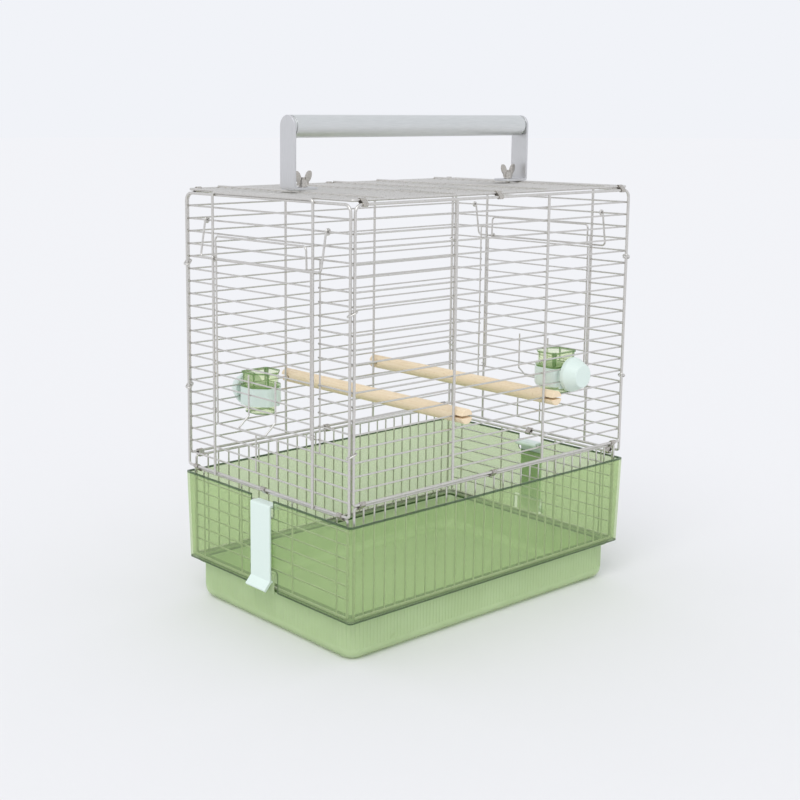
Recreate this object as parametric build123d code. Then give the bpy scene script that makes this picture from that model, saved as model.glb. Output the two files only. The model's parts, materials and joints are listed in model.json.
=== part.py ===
"""Carry cage for a small bird: welded wire cage, plastic skirt and tray, carry handle.

Frame: millimetres, +Z up, origin on the floor under the middle of the cage.
X runs along the long side, the long front wall faces -Y, the two doors face -X and +X.
"""
from build123d import *
import os

# overall size, measured between the frame wires of the walls
CAGE_LENGTH = 450.0
CAGE_DEPTH = 292.0
WALL_TOP = 487.5
FRONT_WALL_BOTTOM = 177.0
SIDE_WALL_BOTTOM = 164.0
FRONT_PITCHES = 21
SIDE_PITCHES = 22
FRONT_PITCH = (WALL_TOP - FRONT_WALL_BOTTOM) / FRONT_PITCHES
SIDE_PITCH = (WALL_TOP - SIDE_WALL_BOTTOM) / SIDE_PITCHES

# wires
FRAME_WIRE = 3.2
GRID_WIRE = 2.0
BAND_FRAME_WIRE = 3.0
DOOR_WIRE = 1.8
WELD_SINK = 0.1
CORNER_BEND = 9.0
HINGE_CORNER_BEND = 3.0
GRID_INSET = (FRAME_WIRE + GRID_WIRE) / 2 - WELD_SINK
FRONT_FRAME_HALF = CAGE_LENGTH / 2 - 3.8
SIDE_FRAME_HALF = CAGE_DEPTH / 2 - 2.4
FRONT_BAR_OFFSET = 75.0

# side walls and their lifting doors
GUIDE_BAR_OFFSET = 88.0
GUIDE_BAR_STANDOFF = 2.7
OPENING_EDGE_OFFSET = 91.5
DOOR_TOP_ROW = 5
DOOR_BOTTOM_ROW = 17
DOOR_EDGE_OFFSET = 83.6
DOOR_EDGE_WIRE = 2.0
DOOR_PLANE_GAP = 0.4
DOOR_RING_RADIUS = 2.7
DOOR_RING_WIRE = 1.4
PULL_HALF_WIDTH = 24.0
PULL_TOP = 290.0
PULL_BEND = 244.0
PULL_TIP = 231.0
PULL_REACH = 15.0
LOWER_UPRIGHT_OFFSET = 19.0

# lock bail and its lever
BAIL_WIRE = 2.4
BAIL_ROW = 2
BAIL_HALF_WIDTH = 106.0
BAIL_EYE_RADIUS = 2.6
BAIL_ROD_HEIGHT = 416.5
BAIL_ROD_REACH = 232.0
BAIL_BEND = 5.0
LEVER_WIRE = 2.2
LEVER_HALF_WIDTH = 80.0
LEVER_CURL_RADIUS = 2.65
LEVER_ROD_HEIGHT = 441.5
LEVER_ROD_REACH = 230.0

# roof
ROOF_LEVEL = 491.5
ROOF_INSET = 4.0
ROOF_PITCHES = 21
ROOF_FRAME_WIRE = 3.0
ROOF_BAR_WIRE = 2.4
ROOF_BAR_OFFSETS = (-180.0, -75.0, 0.0, 75.0, 180.0)
ROOF_BAR_LEVEL = ROOF_LEVEL + (ROOF_BAR_WIRE + GRID_WIRE) / 2 - WELD_SINK

# lower bands, standing on the ledge of the skirt
BAND_INSET = 4.0
BAND_DROP = 4.0
BAND_BOTTOM = 52.0
BAND_GRID_INSET = (BAND_FRAME_WIRE + GRID_WIRE) / 2 - WELD_SINK
FRONT_BAND_HALF = 216.5
SIDE_BAND_HALF = 137.0
FRONT_BAND_PITCHES = 28
SIDE_BAND_ROWS = 7
SIDE_BAND_UPRIGHTS = (-120.0, -46.0, 46.0, 120.0)

# ring clips that bind two frame wires
CLIP_SLACK = 0.2
CLIP_SHEET = 0.8
CLIP_WIDTH = 7.0
FRONT_CLIP_SPOTS = (-208.77, -7.73, 208.77)
SIDE_CLIP_SPOTS = (-129.0, 0.0, 129.0)

# corner hooks
HOOK_WIRE = 1.8
HOOK_SLACK = 0.9
HOOK_TILT = 28.0
NEAR_HOOK_ROWS = (7.5, 17.5)
FAR_HOOK_ROWS = (5.5, 15.5)

# skirt
SKIRT_BOTTOM = 48.0
SKIRT_HEIGHT = 107.0
SKIRT_WALL = 2.0
SKIRT_TOP_OVERHANG = 2.6
SKIRT_BOTTOM_OVERHANG = 0.2
SKIRT_CORNER = 4.0
LEDGE_WIDTH = 14.0
LEDGE_THICKNESS = 2.5
TOP_NOTCH_HALF = 20.0
TOP_NOTCH_DEPTH = 21.0
TOP_NOTCH_ROUND = 4.0
FOOT_NOTCH_HALF = 24.0
FOOT_NOTCH_HEIGHT = 25.0
FOOT_NOTCH_ROUND = 3.0

# tray
TRAY_LENGTH = 434.0
TRAY_DEPTH = 276.0
TRAY_WALL = 2.0
TRAY_CORNER = 20.0
TRAY_FOOT_ROUND = 13.0
TRAY_RIM_REACH = 5.5
TRAY_RIM_THICKNESS = 2.4
LUG_HALF = 18.0
LUG_FACE = 225.7
LUG_WALL = 2.0
LUG_BEAD_BOTTOM = 62.0
LUG_BEAD_TOP = 70.0

# tray clips
LATCH_WIDTH = 35.0
LATCH_THICKNESS = 2.4
LATCH_FACE = 228.0
LATCH_BARREL_RADIUS = 3.4
LATCH_BORE_RADIUS = 1.08
LATCH_LIP_REACH = 226.1
LATCH_LIP_GAP = 0.4
LATCH_FLARE_REACH = 8.0
LATCH_FLARE_DROP = 9.0
LATCH_ROW = 1

# handle
POST_OFFSET = 189.0
POST_WIDTH = 25.0
POST_THICKNESS = 3.0
POST_TOP = 576.5
POST_FOOT_LENGTH = 36.0
POST_BEND = 4.0
GRIP_DIAMETER = 25.0
GRIP_WALL = 2.0
GRIP_HEIGHT = 564.0
COLLAR_DIAMETER = 22.0
COLLAR_LENGTH = 2.5
BOLT_OFFSET = 168.0
BOLT_DIAMETER = 5.0
BOLT_HEAD_WIDTH = 8.0
BOLT_HEAD_HEIGHT = 3.5
BOLT_RISE = 19.5
WASHER_DIAMETER = 18.0
WASHER_THICKNESS = 1.5
NUT_GAP = 0.3
NUT_BORE = 5.2
NUT_BASE_DIAMETER = 10.5
NUT_TOP_DIAMETER = 8.0
NUT_HEIGHT = 8.0
WING_THICKNESS = 2.4
WING_WIDTH = 7.5
WING_HEIGHT = 14.0
WING_REACH = 7.5
WING_LEAN = 24.0

# perches
PERCH_DIAMETER = 17.0
PERCH_HALF_LENGTH = 157.0
PERCH_SLOT_HEIGHT = 2.8
PERCH_SLOT_FLOOR = 141.8
PERCH_OFFSETS = (-65.0, 86.0)
PERCH_ROW = 5
PERCH_EASE = 0.8

# feeders
FRONT_FEEDER_SPOT = 124.5
BACK_FEEDER_SPOT = -133.0
FRONT_FEEDER_ROW = 6.5
BACK_FEEDER_ROW = 4.5
WIRE_GAP = 0.4
PLATE_WIDTH = 30.0
PLATE_HEIGHT = 34.0
PLATE_THICKNESS = 3.0
STUD_DIAMETER = 8.0
STUD_LENGTH = 17.0
KNOB_DIAMETER = 41.0
KNOB_TIP_DIAMETER = 27.0
KNOB_DEPTH = 19.0
KNOB_RIM = 5.0
KNOB_BORE = 8.16
CUP_HALF_WIDTH = 20.0
CUP_HALF_DEPTH = 19.0
CUP_HEIGHT = 52.0
CUP_WALL = 1.6
CUP_TAPER = 4.0
CUP_FOOT_ROUND = 5.0
CUP_RIM_REACH = 1.2
CUP_SHOULDER_REACH = 2.2
CUP_RIM_THICKNESS = 2.0
CUP_RIM_RISE = 26.0
BAND_HEIGHT = 22.0
BAND_TOP = 7.0
BAND_WALL = 2.0


def front_row(row):
    """Height of a wire of the long walls, counted in rows up from the bottom frame."""
    return FRONT_WALL_BOTTOM + row * FRONT_PITCH


def side_row(row):
    """Height of a wire of the short walls, counted in rows down from the top frame."""
    return WALL_TOP - row * SIDE_PITCH


def rod(start, end, diameter):
    """Straight wire between two points."""
    run = Vector(*end) - Vector(*start)
    seat = Plane(origin=start, z_dir=run)
    return seat * Cylinder(diameter / 2, run.length, align=(Align.CENTER, Align.CENTER, Align.MIN))


def bent_rod(points, diameter, bend):
    """Wire bent through a row of points."""
    path = FilletPolyline(*points, radius=bend)
    section = Plane(origin=path @ 0, z_dir=path % 0) * Circle(diameter / 2)
    return sweep(section, path=path)


def midpoint(a, b):
    """Point half way between two points."""
    return tuple((p + q) / 2 for p, q in zip(a, b))


def frame_wire(low, high, diameter, bends):
    """Closed rectangular wire frame in three runs; bends are the corner radii of its two long sides."""
    if low[0] == high[0]:
        corners = [low, (low[0], high[1], low[2]), high, (low[0], low[1], high[2])]
    else:
        corners = [low, (high[0], low[1], low[2]), high, (low[0], high[1], high[2])]
    start = midpoint(corners[0], corners[1])
    right = midpoint(corners[1], corners[2])
    left = midpoint(corners[3], corners[0])
    return [bent_rod([start, corners[1], right], diameter, bends[0]),
            bent_rod([right, corners[2], corners[3], left], diameter, bends[1]),
            bent_rod([left, corners[0], start], diameter, bends[0])]


def ring(centre, radius, diameter, axis):
    """Closed wire eye round a point, its axis along X, Y or Z."""
    return Plane(origin=centre, z_dir=axis) * Torus(radius, diameter / 2)


def weld(pieces):
    """Join wires that cross into one welded piece."""
    return pieces[0] + pieces[1:]


def other_end(piece):
    """The same piece at the other short end of the cage."""
    return mirror(piece, about=Plane.YZ)


def long_wall(side):
    """Front or back wall: frame, two upright bars and the level wires."""
    frame_y = side * CAGE_DEPTH / 2
    grid_y = side * (CAGE_DEPTH / 2 - GRID_INSET)
    pieces = frame_wire((-FRONT_FRAME_HALF, frame_y, FRONT_WALL_BOTTOM),
                        (FRONT_FRAME_HALF, frame_y, WALL_TOP), FRAME_WIRE,
                        (HINGE_CORNER_BEND, CORNER_BEND))
    for x in (-FRONT_BAR_OFFSET, FRONT_BAR_OFFSET):
        pieces.append(rod((x, frame_y, FRONT_WALL_BOTTOM), (x, frame_y, WALL_TOP), FRAME_WIRE))
    for row in range(1, FRONT_PITCHES):
        z = front_row(row)
        pieces.append(rod((-FRONT_FRAME_HALF, grid_y, z), (FRONT_FRAME_HALF, grid_y, z), GRID_WIRE))
    return weld(pieces)


def left_wall():
    """Short wall with the door opening, its two guide bars and the level wires."""
    frame_x = -CAGE_LENGTH / 2
    grid_x = frame_x + GRID_INSET
    inner_x = grid_x + GRID_WIRE - WELD_SINK
    guide_x = frame_x - GUIDE_BAR_STANDOFF
    pieces = frame_wire((frame_x, -SIDE_FRAME_HALF, SIDE_WALL_BOTTOM),
                        (frame_x, SIDE_FRAME_HALF, WALL_TOP), FRAME_WIRE,
                        (HINGE_CORNER_BEND, CORNER_BEND))
    guide_top = WALL_TOP + FRAME_WIRE - WELD_SINK
    pieces.append(bent_rod([(guide_x, -GUIDE_BAR_OFFSET, SIDE_WALL_BOTTOM - GRID_WIRE),
                            (guide_x, -GUIDE_BAR_OFFSET, guide_top),
                            (guide_x, GUIDE_BAR_OFFSET, guide_top),
                            (guide_x, GUIDE_BAR_OFFSET, SIDE_WALL_BOTTOM - GRID_WIRE)],
                           FRAME_WIRE, CORNER_BEND / 2))
    for row in range(1, SIDE_PITCHES):
        z = side_row(row)
        if DOOR_TOP_ROW <= row <= DOOR_BOTTOM_ROW:
            for y in (-1, 1):
                pieces.append(rod((grid_x, y * SIDE_FRAME_HALF, z),
                                  (grid_x, y * OPENING_EDGE_OFFSET, z), GRID_WIRE))
        else:
            pieces.append(rod((grid_x, -SIDE_FRAME_HALF, z), (grid_x, SIDE_FRAME_HALF, z), GRID_WIRE))
    for y in (-OPENING_EDGE_OFFSET, OPENING_EDGE_OFFSET):
        pieces.append(rod((inner_x, y, side_row(DOOR_BOTTOM_ROW + 1)),
                          (inner_x, y, side_row(DOOR_TOP_ROW - 1)), GRID_WIRE))
    for y in (-LOWER_UPRIGHT_OFFSET, LOWER_UPRIGHT_OFFSET):
        pieces.append(rod((inner_x, y, side_row(SIDE_PITCHES - 1)),
                          (inner_x, y, side_row(DOOR_BOTTOM_ROW + 1)), GRID_WIRE))
    return weld(pieces)


def door_wire_plane():
    """Distance of the door's level wires from the middle of the cage."""
    wall_face = CAGE_LENGTH / 2 - GRID_INSET + GRID_WIRE / 2
    return wall_face + DOOR_PLANE_GAP + DOOR_WIRE / 2


def left_door():
    """Lifting door: level wires and two edge wires between the guide bars."""
    wire_x = -door_wire_plane()
    edge_x = wire_x - (DOOR_WIRE + DOOR_EDGE_WIRE) / 2 + WELD_SINK
    top, bottom = side_row(DOOR_TOP_ROW), side_row(DOOR_BOTTOM_ROW)
    pieces = []
    for row in range(DOOR_TOP_ROW, DOOR_BOTTOM_ROW + 1):
        reach = OPENING_EDGE_OFFSET if row in (DOOR_TOP_ROW, DOOR_BOTTOM_ROW) else DOOR_EDGE_OFFSET
        pieces.append(rod((wire_x, -reach, side_row(row)), (wire_x, reach, side_row(row)), DOOR_WIRE))
    for y in (-DOOR_EDGE_OFFSET, DOOR_EDGE_OFFSET):
        pieces.append(rod((edge_x, y, bottom - DOOR_WIRE), (edge_x, y, top + DOOR_WIRE / 2),
                          DOOR_EDGE_WIRE))
    return weld(pieces)


def left_door_loops():
    """Small loops at the foot of the door that run on the guide bars."""
    guide_x = -CAGE_LENGTH / 2 - GUIDE_BAR_STANDOFF
    z = side_row(DOOR_BOTTOM_ROW) + SIDE_PITCH / 4
    return Compound(children=[ring((guide_x, y, z), DOOR_RING_RADIUS, DOOR_RING_WIRE, (0, 0, 1))
                              for y in (-GUIDE_BAR_OFFSET, GUIDE_BAR_OFFSET)])


def left_door_pull():
    """Finger pull on the door: two uprights that slant out to a rod."""
    wire_x = -door_wire_plane() - (DOOR_WIRE + DOOR_EDGE_WIRE) / 2
    tip_x = wire_x - PULL_REACH
    return bent_rod([(wire_x, -PULL_HALF_WIDTH, PULL_TOP), (wire_x, -PULL_HALF_WIDTH, PULL_BEND),
                     (tip_x, -PULL_HALF_WIDTH, PULL_TIP), (tip_x, PULL_HALF_WIDTH, PULL_TIP),
                     (wire_x, PULL_HALF_WIDTH, PULL_BEND), (wire_x, PULL_HALF_WIDTH, PULL_TOP)],
                    DOOR_EDGE_WIRE, HINGE_CORNER_BEND)


def left_bail():
    """Wire bail hung from two eyes, its rod lying across the top of the closed door."""
    grid_x = -CAGE_LENGTH / 2 + GRID_INSET
    eye_z = side_row(BAIL_ROW)
    leg_x = grid_x - BAIL_EYE_RADIUS
    loop = bent_rod([(leg_x, -BAIL_HALF_WIDTH, eye_z),
                     (-BAIL_ROD_REACH, -BAIL_HALF_WIDTH, BAIL_ROD_HEIGHT),
                     (-BAIL_ROD_REACH, BAIL_HALF_WIDTH, BAIL_ROD_HEIGHT),
                     (leg_x, BAIL_HALF_WIDTH, eye_z)], BAIL_WIRE, BAIL_BEND)
    eyes = [ring((grid_x, y, eye_z), BAIL_EYE_RADIUS, BAIL_WIRE, (0, 1, 0))
            for y in (-BAIL_HALF_WIDTH, BAIL_HALF_WIDTH)]
    return weld([loop, *eyes])


def left_lever():
    """Small wire lever curled round the rod of the bail."""
    foot_x = -BAIL_ROD_REACH + LEVER_CURL_RADIUS
    loop = bent_rod([(foot_x, -LEVER_HALF_WIDTH, BAIL_ROD_HEIGHT),
                     (-LEVER_ROD_REACH, -LEVER_HALF_WIDTH, LEVER_ROD_HEIGHT),
                     (-LEVER_ROD_REACH, LEVER_HALF_WIDTH, LEVER_ROD_HEIGHT),
                     (foot_x, LEVER_HALF_WIDTH, BAIL_ROD_HEIGHT)], LEVER_WIRE, BAIL_BEND)
    curls = [ring((-BAIL_ROD_REACH, y, BAIL_ROD_HEIGHT), LEVER_CURL_RADIUS, LEVER_WIRE, (0, 1, 0))
             for y in (-LEVER_HALF_WIDTH, LEVER_HALF_WIDTH)]
    return weld([loop, *curls])


def roof():
    """Roof grid: level frame, long wires, and the cross bars that lie on top of them."""
    half_x = CAGE_LENGTH / 2 - ROOF_INSET
    half_y = CAGE_DEPTH / 2 - ROOF_INSET
    pieces = frame_wire((-half_x, -half_y, ROOF_LEVEL), (half_x, half_y, ROOF_LEVEL), ROOF_FRAME_WIRE,
                        (HINGE_CORNER_BEND, HINGE_CORNER_BEND))
    for x in ROOF_BAR_OFFSETS:
        pieces.append(rod((x, -half_y, ROOF_BAR_LEVEL), (x, half_y, ROOF_BAR_LEVEL), ROOF_BAR_WIRE))
    for step in range(1, ROOF_PITCHES):
        y = -half_y + step * 2 * half_y / ROOF_PITCHES
        pieces.append(rod((-half_x, y, ROOF_LEVEL), (half_x, y, ROOF_LEVEL), GRID_WIRE))
    return weld(pieces)


def long_band(side):
    """Lower front or back band: frame and close upright wires."""
    frame_y = side * (CAGE_DEPTH / 2 - BAND_INSET)
    grid_y = frame_y - side * BAND_GRID_INSET
    top = FRONT_WALL_BOTTOM - BAND_DROP
    pieces = frame_wire((-FRONT_BAND_HALF, frame_y, BAND_BOTTOM), (FRONT_BAND_HALF, frame_y, top),
                        BAND_FRAME_WIRE, (HINGE_CORNER_BEND, HINGE_CORNER_BEND))
    for step in range(1, FRONT_BAND_PITCHES):
        x = -FRONT_BAND_HALF + step * 2 * FRONT_BAND_HALF / FRONT_BAND_PITCHES
        pieces.append(rod((x, grid_y, BAND_BOTTOM), (x, grid_y, top), GRID_WIRE))
    return weld(pieces)


def left_band():
    """Lower band of a short side: frame, level wires and four uprights."""
    frame_x = -(CAGE_LENGTH / 2 - BAND_INSET)
    grid_x = frame_x + BAND_GRID_INSET
    top = SIDE_WALL_BOTTOM - BAND_DROP
    pieces = frame_wire((frame_x, -SIDE_BAND_HALF, BAND_BOTTOM), (frame_x, SIDE_BAND_HALF, top),
                        BAND_FRAME_WIRE, (HINGE_CORNER_BEND, HINGE_CORNER_BEND))
    for row in range(1, SIDE_BAND_ROWS):
        z = top - row * SIDE_PITCH
        pieces.append(rod((grid_x, -SIDE_BAND_HALF, z), (grid_x, SIDE_BAND_HALF, z), GRID_WIRE))
    for y in SIDE_BAND_UPRIGHTS:
        pieces.append(rod((frame_x, y, BAND_BOTTOM), (frame_x, y, top), GRID_WIRE))
    return weld(pieces)


def ring_clip(wire_a, wire_b, along):
    """Sheet clip closed round two parallel wires, centred between them."""
    a, b = Vector(*wire_a), Vector(*wire_b)
    seat = Plane(origin=(a + b) * 0.5, x_dir=b - a, z_dir=along)
    gap = (b - a).length
    inner = FRAME_WIRE / 2 + CLIP_SLACK
    outer = inner + CLIP_SHEET
    sleeve = SlotCenterToCenter(gap, 2 * outer) - SlotCenterToCenter(gap, 2 * inner)
    return seat * extrude(sleeve, amount=CLIP_WIDTH / 2, both=True)


def long_hinge_clips(side):
    """Clips that hinge a long wall to its lower band."""
    y = side * CAGE_DEPTH / 2
    band_y = y - side * BAND_INSET
    clips = [ring_clip((x, y, FRONT_WALL_BOTTOM), (x, band_y, FRONT_WALL_BOTTOM - BAND_DROP), (1, 0, 0))
             for x in FRONT_CLIP_SPOTS]
    return Compound(children=clips)


def roof_hinge_clips(side):
    """Clips that hinge the roof to a long wall."""
    y = side * CAGE_DEPTH / 2
    clips = [ring_clip((x, y, WALL_TOP), (x, y - side * ROOF_INSET, ROOF_LEVEL), (1, 0, 0))
             for x in FRONT_CLIP_SPOTS]
    return Compound(children=clips)


def left_hinge_clips():
    """Clips that hinge a short wall to its lower band."""
    x = -CAGE_LENGTH / 2
    band_x = x + BAND_INSET
    clips = [ring_clip((x, y, SIDE_WALL_BOTTOM), (band_x, y, SIDE_WALL_BOTTOM - BAND_DROP), (0, 1, 0))
             for y in SIDE_CLIP_SPOTS]
    return Compound(children=clips)


def corner_hook(x_side, y_side, row):
    """Tilted wire loop round the two frame wires that meet at a corner."""
    side_frame = Vector(x_side * CAGE_LENGTH / 2, y_side * SIDE_FRAME_HALF, side_row(row))
    long_frame = Vector(x_side * FRONT_FRAME_HALF, y_side * CAGE_DEPTH / 2, side_row(row))
    across = (long_frame - side_frame).normalized()
    tilt_axis = Axis((side_frame + long_frame) * 0.5, across.cross(Vector(0, 0, 1)))
    half_gap = (long_frame - side_frame).length / 2
    radius = FRAME_WIRE / 2 + HOOK_SLACK + HOOK_WIRE / 2
    seat = Plane(origin=tilt_axis.position, x_dir=across, z_dir=(0, 0, 1))
    path = seat * SlotCenterToCenter(2 * half_gap, 2 * radius).wire()
    section = Plane(origin=path @ 0, z_dir=path % 0) * Circle(HOOK_WIRE / 2)
    return sweep(section, path=path).rotate(tilt_axis, HOOK_TILT)


def corner_hooks():
    """All hooks that hold the four walls upright."""
    hooks = []
    for x_side in (-1, 1):
        for y_side in (-1, 1):
            rows = NEAR_HOOK_ROWS if (x_side, y_side) == (-1, -1) else FAR_HOOK_ROWS
            hooks += [corner_hook(x_side, y_side, row) for row in rows]
    return Compound(children=hooks)


def skirt():
    """Clear skirt round the lower bands: tapered walls, inner ledge, clip notches."""
    top = SKIRT_BOTTOM + SKIRT_HEIGHT

    def outline(overhang, inset, z):
        length = CAGE_LENGTH + 2 * (overhang - inset)
        depth = CAGE_DEPTH + 2 * (overhang - inset)
        return Plane.XY.offset(z) * RectangleRounded(length, depth, SKIRT_CORNER)

    shell = loft([outline(SKIRT_BOTTOM_OVERHANG, 0, SKIRT_BOTTOM), outline(SKIRT_TOP_OVERHANG, 0, top)])
    shell -= loft([outline(SKIRT_BOTTOM_OVERHANG, SKIRT_WALL, SKIRT_BOTTOM),
                   outline(SKIRT_TOP_OVERHANG, SKIRT_WALL, top)])
    ledge = outline(SKIRT_BOTTOM_OVERHANG, SKIRT_WALL / 2, SKIRT_BOTTOM)
    ledge -= outline(SKIRT_BOTTOM_OVERHANG, SKIRT_WALL + LEDGE_WIDTH, SKIRT_BOTTOM)
    shell += extrude(ledge, amount=LEDGE_THICKNESS)
    reach = CAGE_LENGTH + 8 * SKIRT_WALL
    top_cut = Plane.YZ * Pos(0, top, 0) * RectangleRounded(2 * TOP_NOTCH_HALF, 2 * TOP_NOTCH_DEPTH,
                                                           TOP_NOTCH_ROUND)
    shell -= extrude(top_cut, amount=reach / 2, both=True)
    foot_cut = Plane.YZ * Pos(0, SKIRT_BOTTOM, 0) * RectangleRounded(2 * FOOT_NOTCH_HALF,
                                                                     2 * FOOT_NOTCH_HEIGHT,
                                                                     FOOT_NOTCH_ROUND)
    cutter = extrude(foot_cut, amount=reach / 2, both=True)
    cutter -= Box(CAGE_LENGTH - 2 * SKIRT_WALL, CAGE_DEPTH, 4 * SKIRT_HEIGHT)
    return shell - cutter


def tray():
    """Deep litter tray with a flat rim the skirt stands on and a lug for each clip."""
    body = Pos(0, 0, SKIRT_BOTTOM / 2) * Box(TRAY_LENGTH, TRAY_DEPTH, SKIRT_BOTTOM)
    body = fillet(body.edges().filter_by(Axis.Z), TRAY_CORNER)
    body = fillet(body.faces().sort_by(Axis.Z)[0].edges(), TRAY_FOOT_ROUND)
    body = offset(body, amount=-TRAY_WALL, openings=body.faces().sort_by(Axis.Z)[-1])
    rim_level = Plane.XY.offset(SKIRT_BOTTOM - TRAY_RIM_THICKNESS)
    rim = rim_level * RectangleRounded(TRAY_LENGTH + 2 * TRAY_RIM_REACH, TRAY_DEPTH + 2 * TRAY_RIM_REACH,
                                       TRAY_CORNER)
    rim -= rim_level * RectangleRounded(TRAY_LENGTH - TRAY_WALL, TRAY_DEPTH - TRAY_WALL,
                                        TRAY_CORNER - TRAY_WALL / 2)
    lug = left_tray_lug()
    return body + [extrude(rim, amount=TRAY_RIM_THICKNESS), lug, other_end(lug)]


def left_tray_lug():
    """Lug of the tray that stands in the skirt's foot notch, with a bead for the clip."""
    inner = -(LUG_FACE - LUG_WALL)
    rim_bottom = SKIRT_BOTTOM - TRAY_RIM_THICKNESS
    bead = -(LATCH_FACE - WIRE_GAP)
    root = -(CAGE_LENGTH / 2 - BAND_INSET)
    profile = Polyline((root, rim_bottom), (-LUG_FACE, rim_bottom), (-LUG_FACE, LUG_BEAD_BOTTOM),
                       (bead, LUG_BEAD_BOTTOM), (bead, LUG_BEAD_TOP - LUG_WALL), (-LUG_FACE, LUG_BEAD_TOP),
                       (inner, LUG_BEAD_TOP), (inner, SKIRT_BOTTOM), (root, SKIRT_BOTTOM), close=True)
    return extrude(Plane.XZ * make_face(profile), amount=LUG_HALF, both=True)


def left_latch():
    """Tray clip: barrel round a band wire, flat strip, lip under the tray's lug, flared foot."""
    pivot_x = -(CAGE_LENGTH / 2 - BAND_INSET) + BAND_GRID_INSET
    pivot_z = SIDE_WALL_BOTTOM - BAND_DROP - LATCH_ROW * SIDE_PITCH
    neck_top = pivot_z + LATCH_BARREL_RADIUS
    outer = -(LATCH_FACE + LATCH_THICKNESS)
    lip_top = LUG_BEAD_BOTTOM - LATCH_LIP_GAP
    lip_bottom = lip_top - LATCH_THICKNESS
    profile = Polyline((pivot_x, neck_top), (outer, neck_top), (outer, lip_top),
                       (outer - LATCH_FLARE_REACH, lip_top - LATCH_FLARE_DROP),
                       (outer - LATCH_FLARE_REACH + LATCH_THICKNESS, lip_bottom - LATCH_FLARE_DROP),
                       (-LATCH_FACE, lip_bottom), (-LATCH_LIP_REACH, lip_bottom),
                       (-LATCH_LIP_REACH, lip_top), (-LATCH_FACE, lip_top),
                       (-LATCH_FACE, neck_top - LATCH_THICKNESS),
                       (pivot_x, neck_top - LATCH_THICKNESS), close=True)
    strip = Plane.XZ * make_face(profile)
    barrel = Plane.XZ * Pos(pivot_x, pivot_z) * Circle(LATCH_BARREL_RADIUS)
    bore = Plane.XZ * Pos(pivot_x, pivot_z) * Circle(LATCH_BORE_RADIUS)
    body = extrude(strip + barrel - bore, amount=LATCH_WIDTH / 2, both=True)
    top_outer = [e for e in body.edges().filter_by(Axis.Y)
                 if abs(e.center().X - outer) < WELD_SINK and abs(e.center().Z - neck_top) < WELD_SINK]
    return fillet(top_outer, LATCH_THICKNESS)


def left_post():
    """Handle post: flat bar with a rounded top and a foot bent inwards under the wing nut."""
    foot_z = ROOF_BAR_LEVEL + ROOF_BAR_WIRE / 2
    outer = -(POST_OFFSET + POST_THICKNESS / 2)
    profile = Polyline((outer, foot_z), (outer, POST_TOP), (outer + POST_THICKNESS, POST_TOP),
                       (outer + POST_THICKNESS, foot_z + POST_THICKNESS),
                       (outer + POST_FOOT_LENGTH, foot_z + POST_THICKNESS),
                       (outer + POST_FOOT_LENGTH, foot_z), close=True)
    bar = extrude(Plane.XZ * make_face(profile), amount=POST_WIDTH / 2, both=True)
    heel = [e for e in bar.edges().filter_by(Axis.Y)
            if abs(e.center().X - outer) < WELD_SINK and abs(e.center().Z - foot_z) < WELD_SINK]
    bar = fillet(heel, POST_BEND)
    tips = bar.edges().filter_by(Axis.X).group_by(Axis.Z)[-1]
    bar = fillet(tips, POST_WIDTH / 2 - WELD_SINK)
    toe = [e for e in bar.edges().filter_by(Axis.Z)
           if abs(e.center().X - outer - POST_FOOT_LENGTH) < WELD_SINK]
    bar = fillet(toe, POST_BEND)
    hole = Pos(-BOLT_OFFSET, 0, foot_z) * Cylinder(BOLT_DIAMETER / 2 + NUT_GAP, 4 * POST_THICKNESS)
    return bar - hole


def grip():
    """Handle grip: a tube with a narrow collar at each end, held between the posts."""
    inner_face = POST_OFFSET - POST_THICKNESS / 2
    tube_half = inner_face - COLLAR_LENGTH
    level = Plane(origin=(0, 0, GRIP_HEIGHT), z_dir=(1, 0, 0))
    tube = Circle(GRIP_DIAMETER / 2) - Circle(GRIP_DIAMETER / 2 - GRIP_WALL)
    core = Circle(COLLAR_DIAMETER / 2) - Circle(COLLAR_DIAMETER / 2 - GRIP_WALL)
    return level * (extrude(tube, amount=tube_half, both=True)
                    + extrude(core, amount=inner_face, both=True))


def left_bolt():
    """Bolt up through the roof and the foot of the post, with its head inside the cage."""
    seat = ROOF_LEVEL - GRID_WIRE / 2 - WASHER_THICKNESS
    low = (Align.CENTER, Align.CENTER, Align.MIN)
    shank = Pos(-BOLT_OFFSET, 0, seat) * Cylinder(BOLT_DIAMETER / 2, BOLT_RISE, align=low)
    head = extrude(RegularPolygon(BOLT_HEAD_WIDTH / 2, 6, major_radius=False), amount=BOLT_HEAD_HEIGHT)
    return shank + Pos(-BOLT_OFFSET, 0, seat - BOLT_HEAD_HEIGHT) * head


def left_washer():
    """Wide washer under the roof wires."""
    low = (Align.CENTER, Align.CENTER, Align.MIN)
    top = ROOF_LEVEL - GRID_WIRE / 2
    disc = Cylinder(WASHER_DIAMETER / 2, WASHER_THICKNESS, align=low)
    disc -= Cylinder(BOLT_DIAMETER / 2 + CLIP_SLACK, WASHER_THICKNESS, align=low)
    return Pos(-BOLT_OFFSET, 0, top - WASHER_THICKNESS) * disc


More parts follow.
